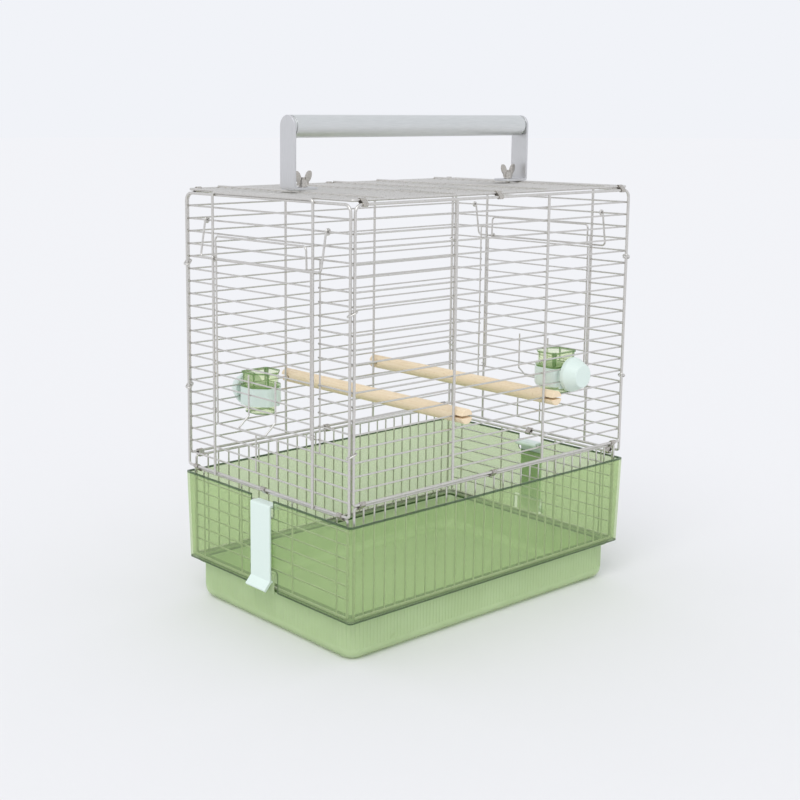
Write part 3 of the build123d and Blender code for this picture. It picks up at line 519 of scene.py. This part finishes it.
class Workshop:
    """The geometry trees and the ways to turn their meshes into pieces."""

    def __init__(self) -> None:
        """Builds every tree once."""
        self.rows = row_tree()
        self.bends = bend_tree()
        self.beads = bead_tree()
        self.ribs = rib_tree()
        self.finishes = Wardrobe()

    def wires(self, start: Point, run: Point, step: Point, count: int, diameter: float,
              finish: bpy.types.Material, sides: int = 12) -> bpy.types.Mesh:
        """Parallel straight wires.

        Args:
            start: one end of the first wire, mm.
            run: from that end to the other, mm.
            step: from one wire to the next, mm.
            count: how many wires.
            diameter: wire size, mm.
            finish: the wire's material.
            sides: facets round the wire.

        Returns:
            The mesh of all the wires.
        """
        return self.rows.grow(finish, {"Start": metres(start), "Run": metres(run), "Step": metres(step),
                                       "Count": count, "Radius": diameter / 2000, "Sides": sides})

    def bent(self, points: Sequence[Point], diameter: float, bend: float, finish: bpy.types.Material,
             closed: bool = False, sides: int = 14) -> bpy.types.Mesh:
        """One wire bent through a row of points.

        Args:
            points: the corners of the path, mm.
            diameter: wire size, mm.
            bend: radius of each bend, mm.
            finish: the wire's material.
            closed: whether the path joins up.
            sides: facets round the wire.

        Returns:
            The wire's mesh.
        """
        path = bpy.data.meshes.new("path")
        edges = [(i, i + 1) for i in range(len(points) - 1)] + ([(len(points) - 1, 0)] if closed else [])
        path.from_pydata([metres(p) for p in points], edges, [])
        return self.bends.grow(finish, {"Bend": bend / 1000, "Radius": diameter / 2000, "Sides": sides},
                               path)

    def welds(self, start: Point, across: Point, columns: int, up: Point, rows: int, diameter: float,
              finish: bpy.types.Material) -> bpy.types.Mesh:
        """Weld beads on a grid of crossings.

        Args:
            start: the first crossing, mm.
            across: from one column to the next, mm.
            columns: how many columns.
            up: from one row to the next, mm.
            rows: how many rows.
            diameter: bead size, mm.
            finish: the bead's material.

        Returns:
            The mesh of all the beads.
        """
        return self.beads.grow(finish, {"Start": metres(start), "Across": metres(across), "Columns": columns,
                                        "Up": metres(up), "Rows": rows, "Radius": diameter / 2000})

    @staticmethod
    def join(name: str, meshes: Iterable[bpy.types.Mesh], finish: bpy.types.Material) -> bpy.types.Object:
        """Puts several meshes of one material into one piece.

        Args:
            name: the piece's name.
            meshes: what it is made of; they are used up.
            finish: the piece's material.

        Returns:
            The piece, at the origin.
        """
        whole = bmesh.new()
        for mesh in meshes:
            whole.from_mesh(mesh)
            bpy.data.meshes.remove(mesh)
        result = bpy.data.meshes.new(name)
        whole.to_mesh(result)
        whole.free()
        result.materials.append(finish)
        result.polygons.foreach_set("material_index", [0] * len(result.polygons))
        piece = bpy.data.objects.new(name, result)
        bpy.context.scene.collection.objects.link(piece)
        return piece

    @staticmethod
    def soften(node: str, finish: bpy.types.Material, width: float, segments: int = 2) -> bpy.types.Object:
        """Copies a frame node and rounds its sharp edges.

        Args:
            node: the frame node to copy.
            finish: the piece's material.
            width: how far each edge is rounded, mm.
            segments: facets across each rounded edge.

        Returns:
            The piece, at the origin.
        """
        mesh = frame["nodes"][node].data.copy()
        loose = bmesh.new()
        loose.from_mesh(mesh)
        bmesh.ops.remove_doubles(loose, verts=loose.verts, dist=2e-6)
        loose.to_mesh(mesh)
        loose.free()
        if "custom_normal" in mesh.attributes:
            mesh.attributes.remove(mesh.attributes["custom_normal"])
        mesh.materials.clear()
        mesh.materials.append(finish)
        rough = bpy.data.objects.new(node + "_rough", mesh)
        bpy.context.scene.collection.objects.link(rough)
        flat = rough.modifiers.new("flat", "DECIMATE")
        flat.decimate_type = "DISSOLVE"
        flat.angle_limit = math.radians(0.5)
        bevel = rough.modifiers.new("edge", "BEVEL")
        bevel.width = width / 1000
        bevel.segments = segments
        bevel.limit_method = "ANGLE"
        bevel.angle_limit = math.radians(38)
        even = rough.modifiers.new("even", "WEIGHTED_NORMAL")
        even.keep_sharp = False
        for face in mesh.polygons:
            face.use_smooth = True
        bpy.context.view_layer.update()
        ready = rough.evaluated_get(bpy.context.evaluated_depsgraph_get())
        smooth = bpy.data.meshes.new_from_object(ready)
        bpy.data.objects.remove(rough)
        piece = bpy.data.objects.new(node + "_finished", smooth)
        bpy.context.scene.collection.objects.link(piece)
        return piece


def mark_cut_edges(piece: bpy.types.Object, name: str, widest: float, tallest: float) -> bpy.types.Object:
    """Marks the narrow faces of a sheet moulding, where it shows its edge.

    Args:
        piece: the moulding.
        name: the attribute that holds the mark.
        widest: greatest mean width of an edge face, mm.
        tallest: greatest height of an edge face that stands upright, mm.

    Returns:
        The same piece.
    """
    mesh = piece.data
    marks = []
    for face in mesh.polygons:
        points = [mesh.vertices[i].co for i in face.vertices]
        around = sum((a - b).length for a, b in zip(points, points[1:] + points[:1]))
        height = max(p.z for p in points) - min(p.z for p in points)
        narrow = 2000 * face.area / around < widest if around else False
        marks.append(float(narrow and height * 1000 < tallest))
    mesh.attributes.new(name, "FLOAT", "FACE").data.foreach_set("value", marks)
    return piece


def stand_for(piece: bpy.types.Object, body: str, slot: str, *nodes: str) -> None:
    """Ties a piece to its body and to the frame nodes it stands for.

    Args:
        piece: the finished piece.
        body: the body it rides on.
        slot: the record's material slot; not used.
        nodes: the frame nodes that it replaces.
    """
    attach(piece, body)
    if nodes:
        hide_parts(*nodes)
    log.info("%s: %d faces, rides on %s", piece.name, len(piece.data.polygons), body)


def dress_node(node: str, finish: bpy.types.Material) -> None:
    """Gives a frame node that stays in view its finish.

    Args:
        node: the frame node.
        finish: the material for all its slots.
    """
    data = frame["nodes"][node].data
    if not data.materials:
        data.materials.append(finish)
    for index in range(len(data.materials)):
        data.materials[index] = finish
    log.info("%s keeps its frame shape", node)


# ---------------------------------------------------------------- cage


@dataclass
class CagePlan:
    """Main sizes that the wire panels share, in millimetres."""

    length: float = 450.0
    depth: float = 292.0
    top: float = 487.5
    long_bottom: float = 177.0
    end_bottom: float = 164.0
    long_pitches: int = 21
    end_pitches: int = 22
    frame_wire: float = 3.2
    grid_wire: float = 2.0
    inset: float = 2.5
    corner_bend: float = 9.0
    foot_bend: float = 3.0
    bead: float = 2.7
    bead_reach: float = 1.1
    sink: float = 0.1

    @property
    def long_pitch(self) -> float:
        """Spacing of the level wires of the long walls."""
        return (self.top - self.long_bottom) / self.long_pitches

    @property
    def end_pitch(self) -> float:
        """Spacing of the level wires of the end walls."""
        return (self.top - self.end_bottom) / self.end_pitches


@dataclass
class Panel:
    """A welded wire panel that stands for one frame node."""

    shop: Workshop
    plan: CagePlan

    def frame_loop(self, low: Point, high: Point, diameter: float, foot: float,
                   head: float) -> list[bpy.types.Mesh]:
        """The closed frame of a panel, as a lower and an upper run that meet half way up.

        Args:
            low: one corner of the frame, mm.
            high: the opposite corner, mm.
            diameter: wire size, mm.
            foot: bend radius at the low side, mm.
            head: bend radius at the high side, mm.

        Returns:
            The two runs.
        """
        if low[0] == high[0]:
            corners = [low, (low[0], high[1], low[2]), high, (low[0], low[1], high[2])]
        else:
            corners = [low, (high[0], low[1], low[2]), high, (low[0], high[1], high[2])]
        right = tuple((a + b) / 2 for a, b in zip(corners[1], corners[2]))
        left = tuple((a + b) / 2 for a, b in zip(corners[3], corners[0]))
        wire = self.shop.finishes.wire
        return [self.shop.bent([left, corners[0], corners[1], right], diameter, foot, wire),
                self.shop.bent([right, corners[2], corners[3], left], diameter, head, wire)]


@dataclass
class LongWall(Panel):
    """Front or back wall: frame, two upright bars and level wires."""

    side: int = -1
    frame_half: float = 221.2
    bar_offset: float = 75.0

    def build(self) -> None:
        """Makes the wall and ties it to the cage."""
        plan, wire = self.plan, self.shop.finishes.wire
        y = self.side * plan.depth / 2
        grid_y = self.side * (plan.depth / 2 - plan.inset)
        pitch = plan.long_pitch
        rows = plan.long_pitches - 1
        meshes = self.frame_loop((-self.frame_half, y, plan.long_bottom), (self.frame_half, y, plan.top),
                                 plan.frame_wire, plan.foot_bend, plan.corner_bend)
        meshes.append(self.shop.wires((-self.bar_offset, y, plan.long_bottom),
                                      (0, 0, plan.top - plan.long_bottom),
                                      (2 * self.bar_offset, 0, 0), 2, plan.frame_wire, wire))
        meshes.append(self.shop.wires((-self.frame_half, grid_y, plan.long_bottom + pitch),
                                      (2 * self.frame_half, 0, 0), (0, 0, pitch), rows,
                                      plan.grid_wire, wire))
        for x, step in ((-self.frame_half, 2 * self.frame_half), (-self.bar_offset, 2 * self.bar_offset)):
            first = (x, grid_y + self.side * plan.bead_reach, plan.long_bottom + pitch)
            meshes.append(self.shop.welds(first, (step, 0, 0), 2, (0, 0, pitch), rows, plan.bead, wire))
        name = "front_wall" if self.side < 0 else "back_wall"
        stand_for(self.shop.join(name + "_wire", meshes, wire), "cage", "steel_wire", name)


@dataclass
class EndWall(Panel):
    """End wall: frame, guide bars for the door, level wires and the edges of the opening."""

    side: int = -1
    frame_half: float = 143.6
    guide_offset: float = 88.0
    guide_standoff: float = 2.7
    edge_offset: float = 91.5
    door_top: int = 5
    door_bottom: int = 17
    upright_offset: float = 19.0

    def build(self) -> None:
        """Makes the wall and ties it to the cage."""
        plan, wire = self.plan, self.shop.finishes.wire
        x = self.side * plan.length / 2
        grid_x = self.side * (plan.length / 2 - plan.inset)
        inner_x = grid_x - self.side * (plan.grid_wire - plan.sink)
        guide_x = x + self.side * self.guide_standoff
        guide_top = plan.top + plan.frame_wire - plan.sink
        foot = plan.end_bottom - plan.grid_wire
        pitch = plan.end_pitch
        meshes = self.frame_loop((x, -self.frame_half, plan.end_bottom), (x, self.frame_half, plan.top),
                                 plan.frame_wire, plan.foot_bend, plan.corner_bend)
        guide = [(guide_x, -self.guide_offset, foot), (guide_x, -self.guide_offset, guide_top),
                 (guide_x, self.guide_offset, guide_top), (guide_x, self.guide_offset, foot)]
        meshes.append(self.shop.bent(guide, plan.frame_wire, plan.corner_bend / 2, wire))
        bands = ((1, self.door_top - 1), (self.door_bottom + 1, plan.end_pitches - 1))
        for first, last in bands:
            meshes.append(self.shop.wires((grid_x, -self.frame_half, plan.top - first * pitch),
                                          (0, 2 * self.frame_half, 0), (0, 0, -pitch), last - first + 1,
                                          plan.grid_wire, wire))
        for end in (-1, 1):
            meshes.append(self.shop.wires((grid_x, end * self.frame_half, plan.top - self.door_top * pitch),
                                          (0, end * (self.edge_offset - self.frame_half), 0), (0, 0, -pitch),
                                          self.door_bottom - self.door_top + 1, plan.grid_wire, wire))
        low = plan.top - (self.door_bottom + 1) * pitch
        high = plan.top - (self.door_top - 1) * pitch
        meshes.append(self.shop.wires((inner_x, -self.edge_offset, low), (0, 0, high - low),
                                      (0, 2 * self.edge_offset, 0), 2, plan.grid_wire, wire))
        bottom = plan.end_bottom + pitch
        meshes.append(self.shop.wires((inner_x, -self.upright_offset, bottom), (0, 0, low - bottom),
                                      (0, 2 * self.upright_offset, 0), 2, plan.grid_wire, wire))
        meshes.append(self.shop.welds((grid_x + self.side * plan.bead_reach, -self.frame_half, bottom),
                                      (0, 2 * self.frame_half, 0), 2, (0, 0, pitch), plan.end_pitches - 1,
                                      plan.bead, wire))
        name = "left_wall" if self.side < 0 else "right_wall"
        stand_for(self.shop.join(name + "_wire", meshes, wire), "cage", "steel_wire", name)


@dataclass
class RoofGrid(Panel):
    """Roof: level frame, close long wires, and the cross bars that lie on top of them."""

    level: float = 491.5
    inset: float = 4.0
    pitches: int = 21
    frame_size: float = 3.0
    bar_size: float = 2.4
    bars: tuple[float, ...] = (-180.0, -75.0, 0.0, 75.0, 180.0)

    def build(self) -> None:
        """Makes the roof and ties it to the cage."""
        plan, wire = self.plan, self.shop.finishes.wire
        half_x = plan.length / 2 - self.inset
        half_y = plan.depth / 2 - self.inset
        bar_z = self.level + (self.bar_size + plan.grid_wire) / 2 - plan.sink
        pitch = 2 * half_y / self.pitches
        meshes = self.frame_loop((-half_x, -half_y, self.level), (half_x, half_y, self.level),
                                 self.frame_size, plan.foot_bend, plan.foot_bend)
        meshes.append(self.shop.wires((-half_x, -half_y + pitch, self.level), (2 * half_x, 0, 0),
                                      (0, pitch, 0), self.pitches - 1, plan.grid_wire, wire))
        for x in self.bars:
            meshes.append(self.shop.wires((x, -half_y, bar_z), (0, 2 * half_y, 0), (0, 0, 0), 1,
                                          self.bar_size, wire))
            meshes.append(self.shop.welds((x, -half_y + pitch, self.level + plan.bead_reach), (0, 0, 0), 1,
                                          (0, pitch, 0), self.pitches - 1, plan.bead, wire))
        stand_for(self.shop.join("roof_wire", meshes, wire), "cage", "steel_wire", "roof")


@dataclass
class LongBand(Panel):
    """Lower front or back band with close upright wires."""

    side: int = -1
    frame_half: float = 216.5
    inset: float = 4.0
    drop: float = 4.0
    bottom: float = 52.0
    pitches: int = 28
    frame_size: float = 3.0

    def build(self) -> None:
        """Makes the band and ties it to the cage."""
        plan, wire = self.plan, self.shop.finishes.wire
        y = self.side * (plan.depth / 2 - self.inset)
        grid_y = y - self.side * ((self.frame_size + plan.grid_wire) / 2 - plan.sink)
        top = plan.long_bottom - self.drop
        pitch = 2 * self.frame_half / self.pitches
        meshes = self.frame_loop((-self.frame_half, y, self.bottom), (self.frame_half, y, top),
                                 self.frame_size, plan.foot_bend, plan.foot_bend)
        first, rise = -self.frame_half + pitch, (0, 0, top - self.bottom)
        meshes.append(self.shop.wires((first, grid_y, self.bottom), rise, (pitch, 0, 0), self.pitches - 1,
                                      plan.grid_wire, wire))
        meshes.append(self.shop.welds((first, grid_y + self.side * plan.bead_reach, self.bottom),
                                      (pitch, 0, 0), self.pitches - 1, rise, 2, plan.bead, wire))
        name = "front_band" if self.side < 0 else "back_band"
        stand_for(self.shop.join(name + "_wire", meshes, wire), "cage", "steel_wire", name)


@dataclass
class EndBand(Panel):
    """Lower band of an end: frame, level wires and four uprights."""

    side: int = -1
    frame_half: float = 137.0
    inset: float = 4.0
    drop: float = 4.0
    bottom: float = 52.0
    rows: int = 6
    frame_size: float = 3.0
    uprights: tuple[float, ...] = (-120.0, -46.0, 46.0, 120.0)

    def build(self) -> None:
        """Makes the band and ties it to the cage."""
        plan, wire = self.plan, self.shop.finishes.wire
        x = self.side * (plan.length / 2 - self.inset)
        grid_x = x - self.side * ((self.frame_size + plan.grid_wire) / 2 - plan.sink)
        top = plan.end_bottom - self.drop
        meshes = self.frame_loop((x, -self.frame_half, self.bottom), (x, self.frame_half, top),
                                 self.frame_size, plan.foot_bend, plan.foot_bend)
        meshes.append(self.shop.wires((grid_x, -self.frame_half, top - plan.end_pitch),
                                      (0, 2 * self.frame_half, 0), (0, 0, -plan.end_pitch), self.rows,
                                      plan.grid_wire, wire))
        for y in self.uprights:
            meshes.append(self.shop.wires((x, y, self.bottom), (0, 0, top - self.bottom), (0, 0, 0), 1,
                                          plan.grid_wire, wire))
        name = "left_band" if self.side < 0 else "right_band"
        stand_for(self.shop.join(name + "_wire", meshes, wire), "cage", "steel_wire", name)


@dataclass
class LiftDoor(Panel):
    """Lifting door of an end wall; its loops and finger pull keep their frame shape."""

    side: int = -1
    wire_size: float = 1.8
    edge_size: float = 2.0
    plane: float = 224.8
    reach: float = 91.5
    edge_offset: float = 83.6
    top_row: int = 5
    bottom_row: int = 17
    bead: float = 2.3

    def build(self) -> None:
        """Makes the door and ties it to its own body."""
        plan, wire = self.plan, self.shop.finishes.wire
        x = self.side * self.plane
        edge_x = x + self.side * ((self.wire_size + self.edge_size) / 2 - plan.sink)
        pitch = plan.end_pitch
        top, bottom = plan.top - self.top_row * pitch, plan.top - self.bottom_row * pitch
        meshes = [self.shop.wires((x, -self.reach, bottom), (0, 2 * self.reach, 0), (0, 0, top - bottom), 2,
                                  self.wire_size, wire),
                  self.shop.wires((x, -self.edge_offset, bottom + pitch), (0, 2 * self.edge_offset, 0),
                                  (0, 0, pitch), self.bottom_row - self.top_row - 1, self.wire_size, wire),
                  self.shop.wires((edge_x, -self.edge_offset, bottom - self.wire_size),
                                  (0, 0, top - bottom + 1.5 * self.wire_size),
                                  (0, 2 * self.edge_offset, 0), 2, self.edge_size, wire),
                  self.shop.welds((x + self.side * self.wire_size / 2, -self.edge_offset, bottom),
                                  (0, 2 * self.edge_offset, 0), 2, (0, 0, pitch),
                                  self.bottom_row - self.top_row + 1, self.bead, wire)]
        name = "left" if self.side < 0 else "right"
        door = name + "_door"
        stand_for(self.shop.join(door + "_wire", meshes, wire), door, "steel_wire", door)
        for part in ("_door_loops", "_door_pull", "_bail", "_lever"):
            dress_node(name + part, wire)


@dataclass
class Trim:
    """Ring clips and corner hooks, which keep their frame shapes."""

    shop: Workshop
    clips: tuple[str, ...] = ("front_hinge_clips", "back_hinge_clips", "left_hinge_clips",
                              "right_hinge_clips", "roof_front_clips", "roof_back_clips")

    def build(self) -> None:
        """Dresses the clips and hooks."""
        for node in self.clips:
            dress_node(node, self.shop.finishes.zinc)
        dress_node("corner_hooks", self.shop.finishes.wire)


# ---------------------------------------------------------------- base


@dataclass
class TrayBase:
    """Deep tray with ribbed sides, the clear skirt over it, and the two tray clips."""

    shop: Workshop
    length: float = 434.0
    depth: float = 276.0
    corner: float = 20.0
    rib_spacing: float = 5.0
    rib_foot: float = 14.0
    rib_head: float = 43.0
    rib_radius: float = 1.0
    rib_sink: float = 0.6
    edge_width: float = 2.6
    edge_height: float = 40.0
    moulded_edge: float = 0.6
    sheet_edge: float = 0.3

    def ribs(self) -> bpy.types.Object:
        """Upright ribs moulded round the tray.

        Returns:
            The ribs as one piece.
        """
        half_x, half_y = self.length / 2 - self.rib_sink, self.depth / 2 - self.rib_sink
        outline = [(-half_x, -half_y), (half_x, -half_y), (half_x, half_y), (-half_x, half_y)]
        path = bpy.data.meshes.new("tray outline")
        path.from_pydata([metres((x, y, self.rib_foot)) for x, y in outline],
                         [(0, 1), (1, 2), (2, 3), (3, 0)], [])
        mesh = self.shop.ribs.grow(self.shop.finishes.tray,
                                   {"Spacing": self.rib_spacing / 1000, "Radius": self.rib_radius / 1000,
                                    "Height": (self.rib_head - self.rib_foot) / 1000,
                                    "Bend": (self.corner - self.rib_sink) / 1000}, path)
        return self.shop.join("tray_ribs", [mesh], self.shop.finishes.tray)

    def build(self) -> None:
        """Makes the tray, skirt and clips and ties them to their bodies."""
        finishes = self.shop.finishes
        stand_for(self.shop.soften("tray", finishes.tray, self.moulded_edge), "cage", "tray_plastic", "tray")
        stand_for(self.ribs(), "cage", "tray_plastic")
        skirt = mark_cut_edges(self.shop.soften("skirt", finishes.skirt, self.sheet_edge),
                               GREEN_CLEAR.edge_mark, self.edge_width, self.edge_height)
        stand_for(skirt, "cage", "skirt_plastic", "skirt")
        for side in ("left", "right"):
            node = side + "_tray_latch"
            stand_for(self.shop.soften(node, finishes.mint, self.moulded_edge), side + "_latch",
                      "mint_plastic", node)


# ---------------------------------------------------------------- handle, perches and feeders


@dataclass
class Handle:
    """Bar handle: grip tube, flat posts and the wing nuts that hold them."""

    shop: Workshop
    post_edge: float = 0.5
    nut_edge: float = 0.35

    def build(self) -> None:
        """Makes the handle and ties its pieces to their bodies."""
        finishes = self.shop.finishes
        stand_for(self.shop.soften("handle_grip", finishes.tube, self.post_edge), "cage", "handle_steel",
                  "handle_grip")
        for side in ("left", "right"):
            post, nut = side + "_handle_post", side + "_wing_nut"
            stand_for(self.shop.soften(post, finishes.bar, self.post_edge), "cage", "handle_steel", post)
            stand_for(self.shop.soften(nut, finishes.zinc, self.nut_edge), nut, "clip_steel", nut)
            dress_node(side + "_handle_bolt", finishes.zinc)
            dress_node(side + "_handle_washer", finishes.zinc)


@dataclass
class Furnishing:
    """Perches and feeders."""

    shop: Workshop
    plastic_edge: float = 0.5
    knob_edge: float = 0.8
    wood_edge: float = 0.4
    sheet_edge: float = 0.3
    edge_width: float = 2.4
    edge_height: float = 3.0

    def build(self) -> None:
        """Makes the perches and feeders and ties their pieces to their bodies."""
        finishes = self.shop.finishes
        for side in ("left", "right"):
            node = side + "_perch"
            stand_for(self.shop.soften(node, finishes.wood, self.wood_edge), "cage", "perch_wood", node)
        for side in ("front", "back"):
            holder, cup, knob = (side + "_feeder_" + part for part in ("holder", "cup", "knob"))
            stand_for(self.shop.soften(holder, finishes.mint, self.plastic_edge), "cage", "mint_plastic",
                      holder)
            dish = mark_cut_edges(self.shop.soften(cup, finishes.cup, self.sheet_edge), GREEN_CUP.edge_mark,
                                  self.edge_width, self.edge_height)
            stand_for(dish, side + "_cup", "cup_plastic", cup)
            stand_for(self.shop.soften(knob, finishes.mint, self.knob_edge), side + "_knob", "mint_plastic",
                      knob)


# ---------------------------------------------------------------- studio


@dataclass
class Studio:
    """Pale floor, soft light and the camera."""

    floor_radius: float = 40.0
    backdrop: str = "f1f3f8"
    floor_share: Point = (0.82, 0.816, 0.817)
    camera_place: Point = (-1099.12, -1124.15, 571.84)
    turn: float = 39.5075
    tilt: float = -9.1907
    lens: float = 59.234
    shift: tuple[float, float] = (0.125, -0.085)
    sun_from: Point = (-1500.0, -900.0, 2100.0)
    sun_spread: float = 35.0
    sun_power: float = 0.85

    def floor(self) -> None:
        """Makes the pale floor."""
        mesh = bpy.data.meshes.new("floor")
        disc = bmesh.new()
        bmesh.ops.create_circle(disc, cap_ends=True, segments=96, radius=self.floor_radius)
        disc.to_mesh(mesh)
        disc.free()
        material = bpy.data.materials.new("matt paper")
        material.use_nodes = True
        shader = material.node_tree.nodes["Principled BSDF"]
        shader.inputs["Base Color"].default_value = (*self.floor_share, 1.0)
        shader.inputs["Roughness"].default_value = 1.0
        shader.inputs["Specular IOR Level"].default_value = 0.0
        mesh.materials.append(material)
        floor = bpy.data.objects.new("floor", mesh)
        bpy.context.scene.collection.objects.link(floor)

    def lights(self) -> None:
        """Makes the even surroundings and one wide soft light from the upper front left."""
        world = bpy.data.worlds.new("studio")
        world.use_nodes = True
        world.node_tree.nodes["Background"].inputs["Color"].default_value = linear(self.backdrop)
        bpy.context.scene.world = world
        lamp = bpy.data.lights.new("softbox", "SUN")
        lamp.energy = self.sun_power
        lamp.angle = math.radians(self.sun_spread)
        holder = bpy.data.objects.new("softbox", lamp)
        holder.rotation_mode = "QUATERNION"
        holder.rotation_quaternion = (-metres(self.sun_from)).to_track_quat("-Z", "Y")
        bpy.context.scene.collection.objects.link(holder)

    def camera(self) -> None:
        """Makes the camera."""
        lens = bpy.data.cameras.new("camera")
        lens.lens = self.lens
        lens.sensor_width = 36.0
        lens.shift_x, lens.shift_y = self.shift
        lens.clip_start, lens.clip_end = 0.05, 100.0
        eye = bpy.data.objects.new("camera", lens)
        eye.location = metres(self.camera_place)
        turn, tilt = math.radians(self.turn), math.radians(self.tilt)
        look = Vector((math.cos(tilt) * math.sin(turn), math.cos(tilt) * math.cos(turn), math.sin(tilt)))
        eye.rotation_mode = "QUATERNION"
        eye.rotation_quaternion = look.to_track_quat("-Z", "Y")
        bpy.context.scene.collection.objects.link(eye)
        bpy.context.scene.camera = eye

    def build(self) -> None:
        """Makes the whole studio."""
        self.floor()
        self.lights()
        self.camera()
        bpy.context.scene.view_settings.view_transform = "Standard"


def main() -> None:
    """Builds the cage round the frame, then the studio."""
    logging.basicConfig(level=logging.INFO, format="%(name)s: %(message)s")
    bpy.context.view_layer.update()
    shop, plan = Workshop(), CagePlan()
    for side in (-1, 1):
        LongWall(shop, plan, side=side).build()
        EndWall(shop, plan, side=side).build()
        LongBand(shop, plan, side=side).build()
        EndBand(shop, plan, side=side).build()
        LiftDoor(shop, plan, side=side).build()
    RoofGrid(shop, plan).build()
    for group in (Trim(shop), TrayBase(shop), Handle(shop), Furnishing(shop), Studio()):
        group.build()


if __name__ == "__main__":
    main()
